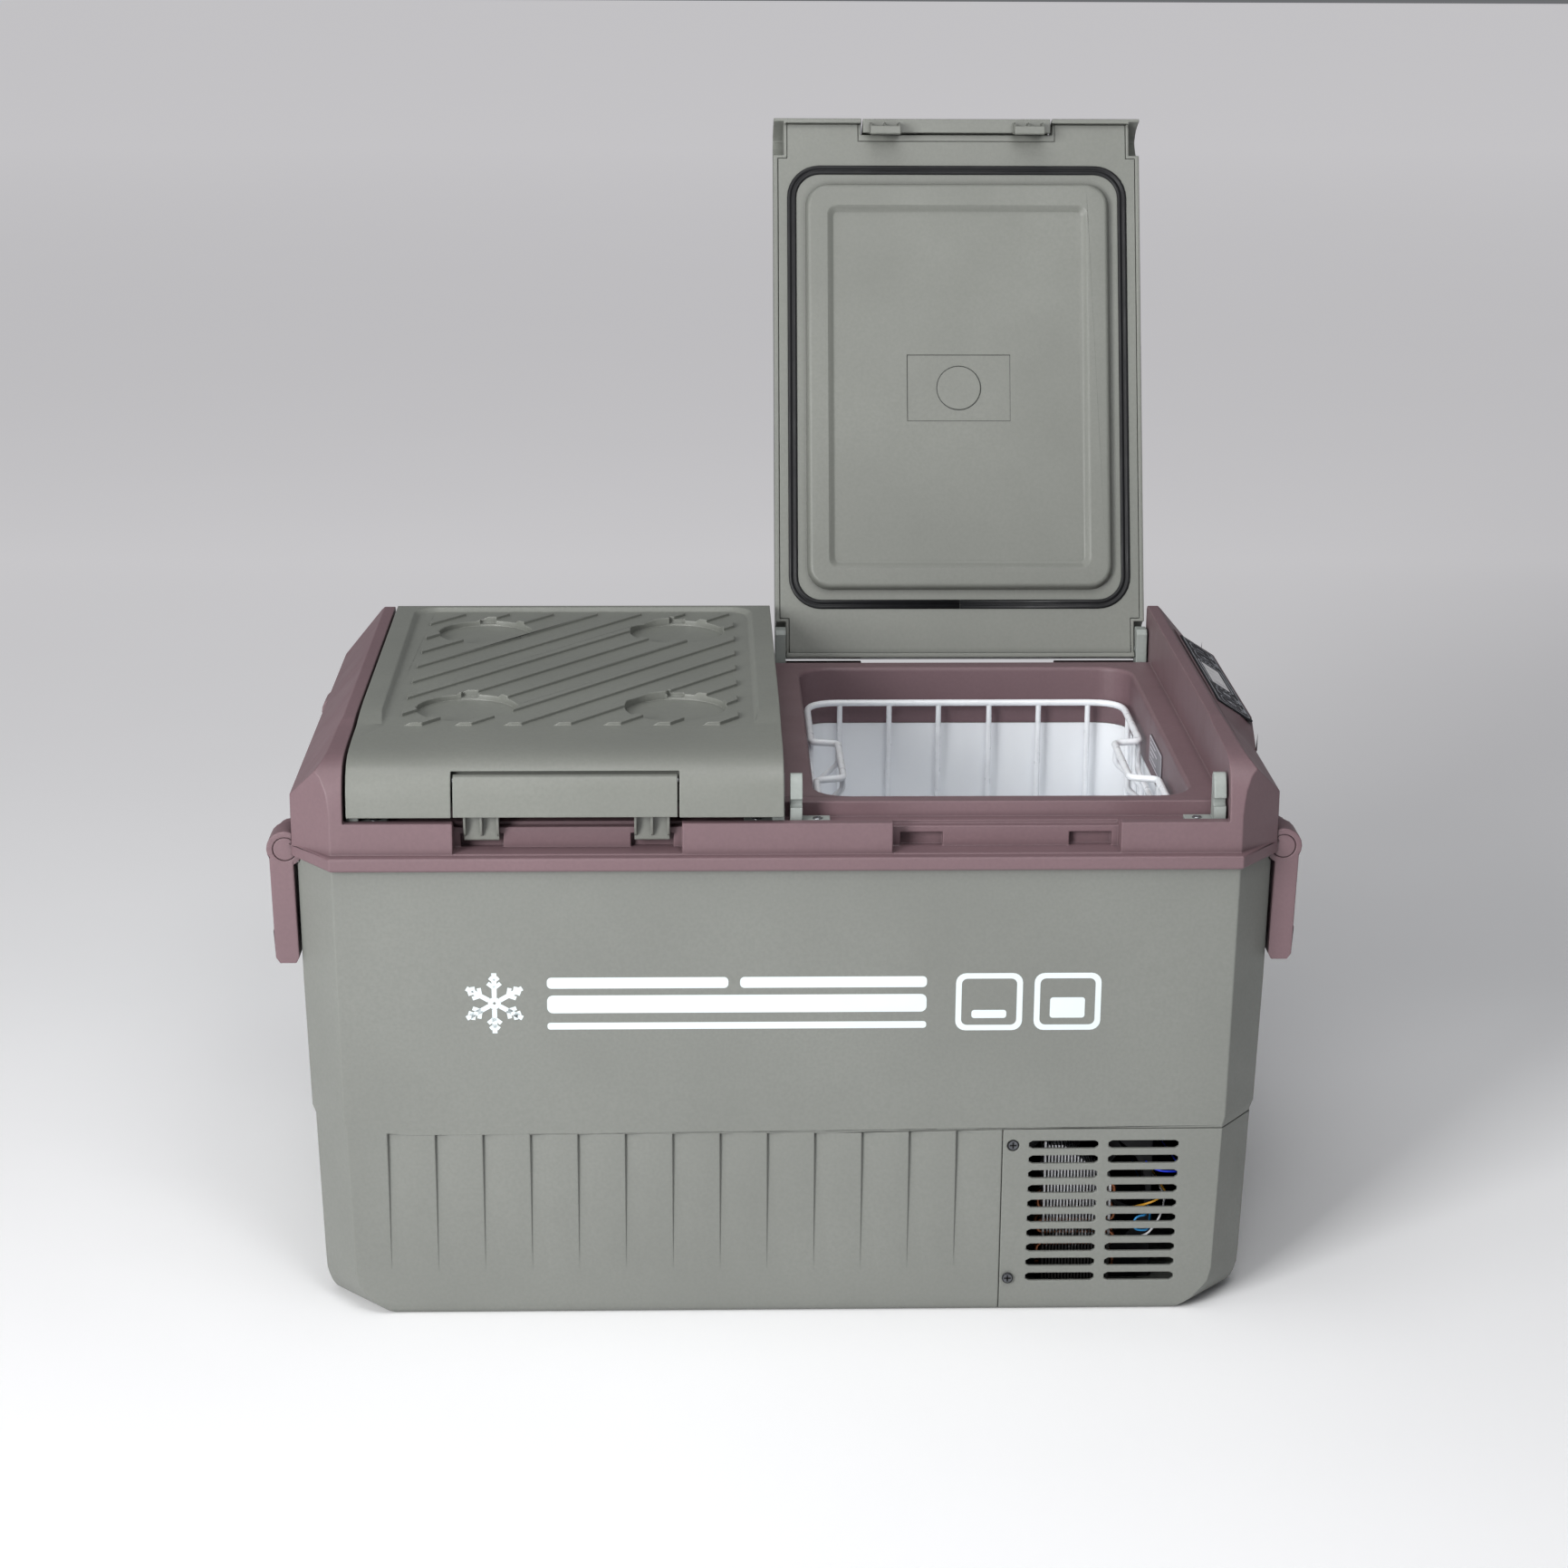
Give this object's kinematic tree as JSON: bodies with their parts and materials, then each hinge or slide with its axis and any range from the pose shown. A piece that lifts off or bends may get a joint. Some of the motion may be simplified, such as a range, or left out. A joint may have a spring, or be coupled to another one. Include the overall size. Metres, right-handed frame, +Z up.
{
  "type": "compressor cooler fridge",
  "caption": "Chest-type portable compressor fridge with two lidded compartments, fold-down side handles, wire baskets, front latches and a vented machinery cover.",
  "frame": {"origin": "on the floor plane, under the middle of the body between the two compartments", "axes": "+Z up, -Y out of the front with the latches and the vent slots, +X towards the control panel end; the right lid leans back in its open position"},
  "size_m": [0.7104, 0.6068, 0.7805],
  "materials": {
    "body_plastic": "matte",
    "lid_plastic": "matte",
    "frame_plastic": "satin",
    "liner_white": "satin",
    "coated_wire": "satin",
    "label_white": "satin",
    "rubber": "matte",
    "bracket_plastic": "satin",
    "foam": "matte",
    "steel": "satin",
    "galvanised": "satin",
    "aluminium": "satin",
    "panel_overlay": "satin",
    "display_lens": "gloss",
    "button_pad": "satin",
    "black_steel": "satin",
    "black_plastic": "satin",
    "copper": "satin"
  },
  "bodies": {
    "fridge": {"outer_shell": "body_plastic", "compressor_cover": "body_plastic", "insulation_foam": "foam", "cover_screw_upper": "steel", "cover_screw_lower": "steel", "bay_liner": "galvanised", "foot_front_left": "rubber", "foot_front_right": "rubber", "foot_rear_left": "rubber", "foot_rear_right": "rubber", "liner_left": "liner_white", "liner_right": "liner_white", "evaporator_left": "aluminium", "evaporator_right": "aluminium", "condenser": "aluminium", "electronics_box": "aluminium", "basket_left": "coated_wire", "interior_label": "label_white", "upper_frame": "frame_plastic", "control_panel": "panel_overlay", "display_lens": "display_lens", "bracket_left_front_inner": "bracket_plastic", "bracket_left_front_outer": "bracket_plastic", "bracket_left_rear_inner": "bracket_plastic", "bracket_left_rear_outer": "bracket_plastic", "bracket_right_front_inner": "bracket_plastic", "bracket_right_front_outer": "bracket_plastic", "bracket_right_rear_inner": "bracket_plastic", "bracket_right_rear_outer": "bracket_plastic", "compressor": "black_steel", "fan_shroud": "black_plastic", "power_inlet": "black_plastic", "refrigerant_line": "copper"},
    "lid_left": {"lid_left_shell": "lid_plastic", "lid_left_panel": "lid_plastic", "lid_left_foam": "foam", "lid_left_gasket": "rubber", "lid_left_latch_pin": "steel", "lid_left_hinge_pin_outer": "steel", "lid_left_hinge_pin_inner": "steel"},
    "lid_right": {"lid_right_shell": "lid_plastic", "lid_right_panel": "lid_plastic", "lid_right_foam": "foam", "lid_right_gasket": "rubber", "lid_right_latch_pin": "steel", "lid_right_hinge_pin_outer": "steel", "lid_right_hinge_pin_inner": "steel"},
    "latch_left": {"lid_left_latch": "lid_plastic"},
    "latch_right": {"lid_right_latch": "lid_plastic"},
    "handle_left": {"handle_left": "frame_plastic"},
    "handle_right": {"handle_right": "frame_plastic"},
    "basket_right": {"basket_right": "coated_wire"},
    "fan": {"fan_rotor": "black_plastic"},
    "button_1": {"button_1": "button_pad"},
    "button_2": {"button_2": "button_pad"},
    "button_3": {"button_3": "button_pad"},
    "button_4": {"button_4": "button_pad"}
  },
  "joints": [
    {"name": "lid_left_hinge", "type": "hinge", "parent": "fridge", "child": "lid_left", "pos_m": [0, 0.211, 0.375], "axis": [-1, 0, 0], "range_deg": [0, 110]},
    {"name": "lid_right_hinge", "type": "hinge", "parent": "fridge", "child": "lid_right", "pos_m": [0, 0.211, 0.375], "axis": [1, 0, 0], "range_deg": [0, 110]},
    {"name": "latch_left_pivot", "type": "hinge", "parent": "lid_left", "child": "latch_left", "pos_m": [-0.1499, -0.2093, 0.3912], "axis": [-1, 0, 0], "range_deg": [0, 35]},
    {"name": "latch_right_pivot", "type": "hinge", "parent": "lid_right", "child": "latch_right", "pos_m": [0.1499, 0.36997, 0.76441], "axis": [-1, 0, 0], "range_deg": [0, 35]},
    {"name": "handle_left_pivot", "type": "hinge", "parent": "fridge", "child": "handle_left", "pos_m": [-0.3426, 0, 0.337], "axis": [0, 1, 0], "range_deg": [0, 100]},
    {"name": "handle_right_pivot", "type": "hinge", "parent": "fridge", "child": "handle_right", "pos_m": [0.3426, 0, 0.337], "axis": [0, -1, 0], "range_deg": [0, 100]},
    {"name": "basket_right_lift", "type": "slide", "parent": "fridge", "child": "basket_right", "axis": [0, 0, -1], "range_m": [-0.3, 0]},
    {"name": "fan_spin", "type": "hinge", "parent": "fridge", "child": "fan", "pos_m": [0.212, -0.154, 0.07], "axis": [0, 1, 0], "continuous": true},
    {"name": "button_1_press", "type": "slide", "parent": "fridge", "child": "button_1", "axis": [-0.5438, 0, -0.8392], "range_m": [0, 0.0008], "stiffness_N_per_m": 400, "springref_m": -0.0006},
    {"name": "button_2_press", "type": "slide", "parent": "fridge", "child": "button_2", "axis": [-0.5438, 0, -0.8392], "range_m": [0, 0.0008], "stiffness_N_per_m": 400, "springref_m": -0.0006},
    {"name": "button_3_press", "type": "slide", "parent": "fridge", "child": "button_3", "axis": [-0.5438, 0, -0.8392], "range_m": [0, 0.0008], "stiffness_N_per_m": 400, "springref_m": -0.0006},
    {"name": "button_4_press", "type": "slide", "parent": "fridge", "child": "button_4", "axis": [-0.5438, 0, -0.8392], "range_m": [0, 0.0008], "stiffness_N_per_m": 400, "springref_m": -0.0006}
  ]
}
